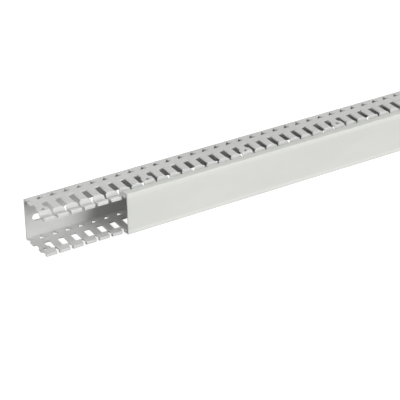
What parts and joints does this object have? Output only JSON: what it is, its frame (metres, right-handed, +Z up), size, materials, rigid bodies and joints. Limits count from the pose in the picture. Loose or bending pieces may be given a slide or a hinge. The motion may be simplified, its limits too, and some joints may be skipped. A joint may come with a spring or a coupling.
{
  "type": "slotted wire duct",
  "caption": "Slotted wiring duct with bottle-shaped wire slots, snap-bead fingers, a perforated base and a clip-on cover that slides lengthwise.",
  "frame": {"origin": "centre of the mounting face, halfway along the channel", "axes": "+X along the duct away from the end where the cover is slid back, +Y out of the mounting face, +Z up across the two slotted walls, as the duct lies on one of them"},
  "size_m": [1.078, 0.04, 0.04],
  "materials": {
    "channel_plastic": "matte pale grey rigid PVC",
    "cover_plastic": "matte pale grey rigid PVC, slightly smoother than the channel"
  },
  "bodies": {
    "channel": {"duct_channel": "channel_plastic"},
    "cover": {"cover": "cover_plastic"}
  },
  "joints": [
    {"name": "cover_slide", "type": "slide", "parent": "channel", "child": "cover", "axis": [1, 0, 0], "range_m": [-0.078, 0.925]}
  ]
}
